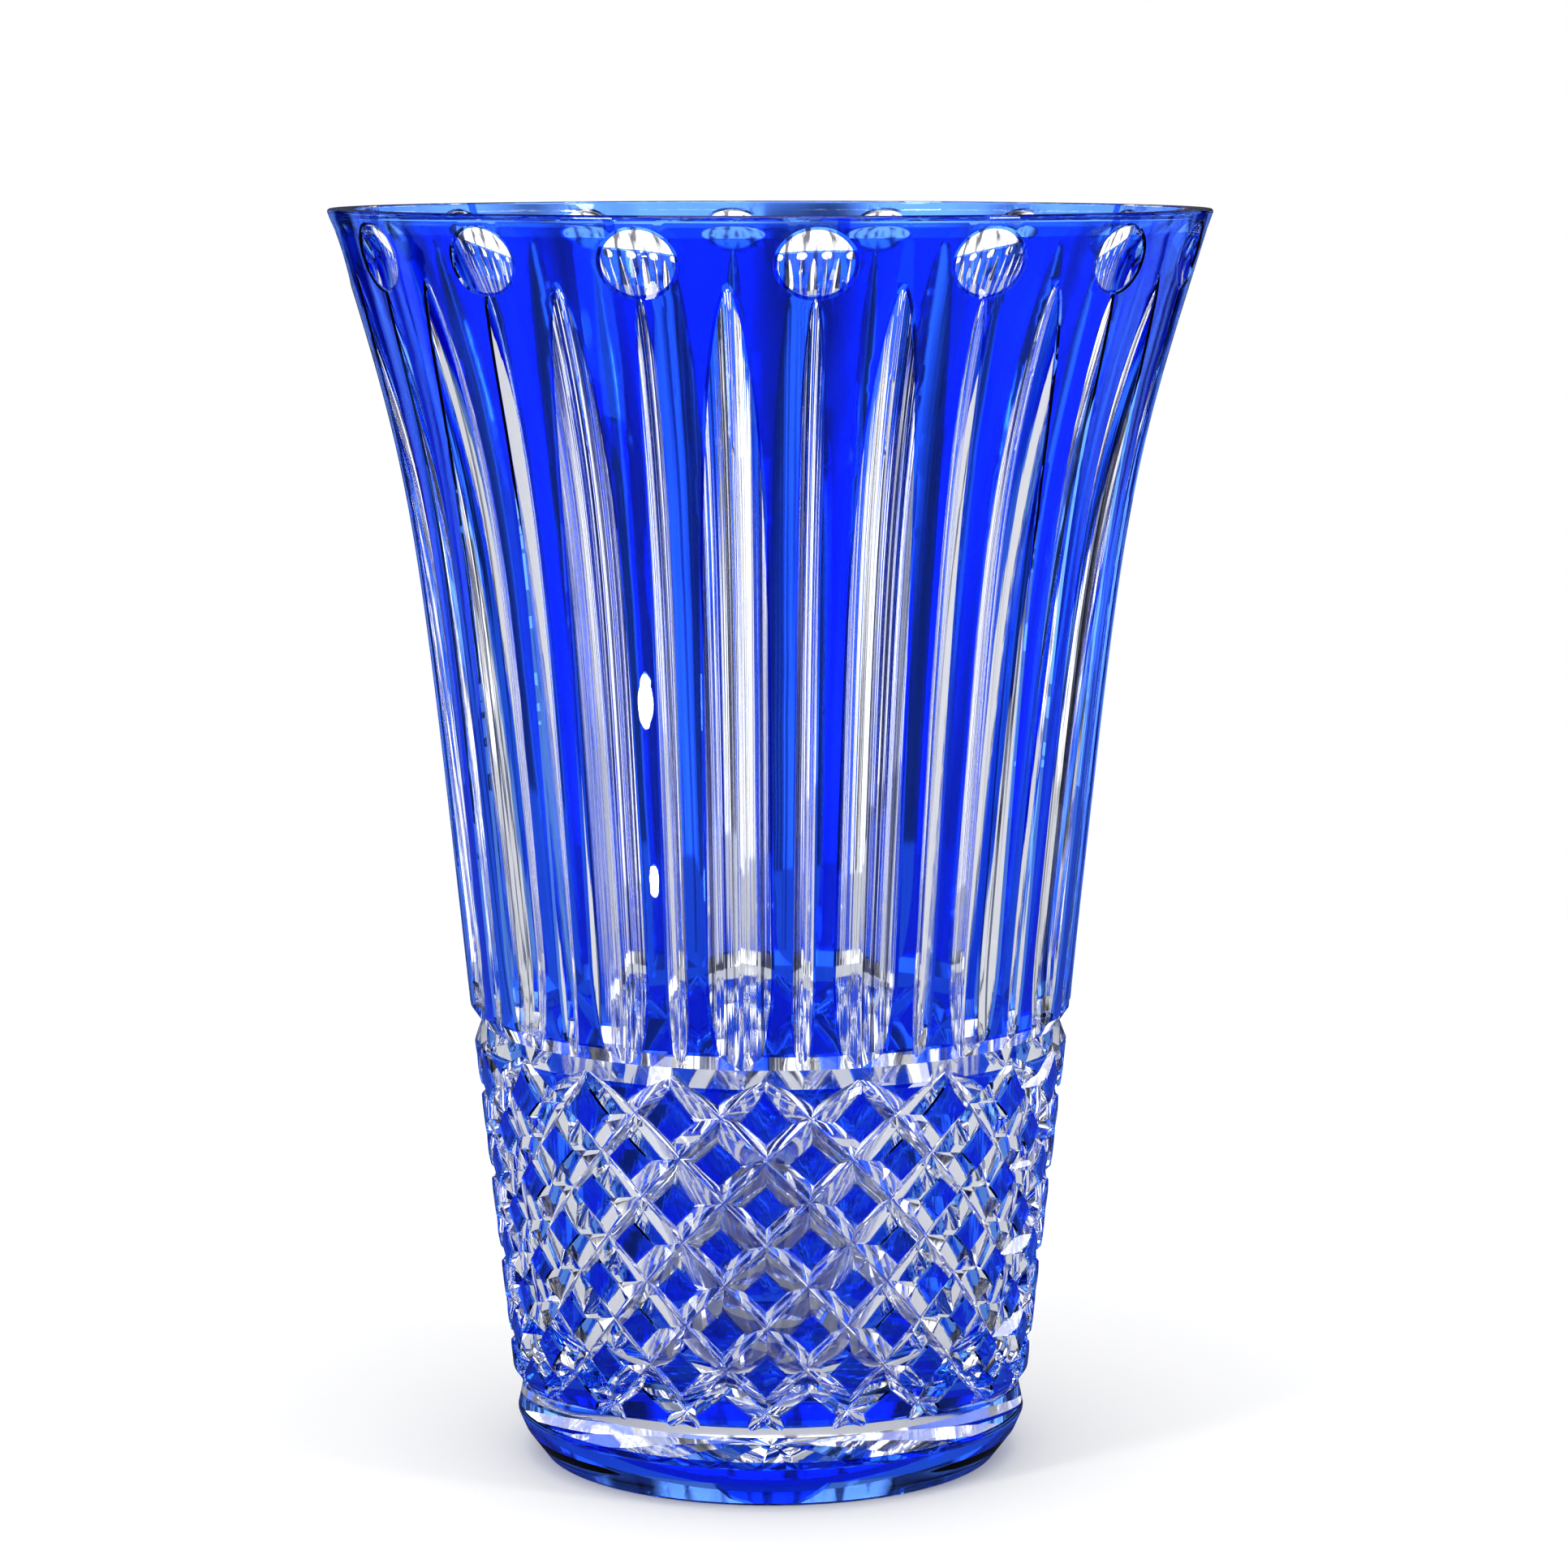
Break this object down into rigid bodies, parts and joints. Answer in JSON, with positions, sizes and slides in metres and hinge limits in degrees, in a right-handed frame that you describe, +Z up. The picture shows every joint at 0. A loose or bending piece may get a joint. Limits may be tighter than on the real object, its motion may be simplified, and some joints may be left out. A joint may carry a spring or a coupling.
{
  "type": "cut crystal vase",
  "caption": "Tall flared vase of heavy clear crystal cased in cobalt blue, cut with pointed flutes, round windows, a girdle groove and a field of diamonds.",
  "frame": {"origin": "centre of the base, on the surface that the vase stands on", "axes": "+Z up along the vase's axis; a broad flute faces each of +X, -X, +Y and -Y"},
  "size_m": [0.174, 0.174, 0.25],
  "materials": {
    "clear_crystal": "polished",
    "cobalt_casing": "polished"
  },
  "bodies": {
    "root": {"crystal_body": "clear_crystal", "casing_collar": "cobalt_casing", "casing_foot": "cobalt_casing"}
  },
  "joints": []
}
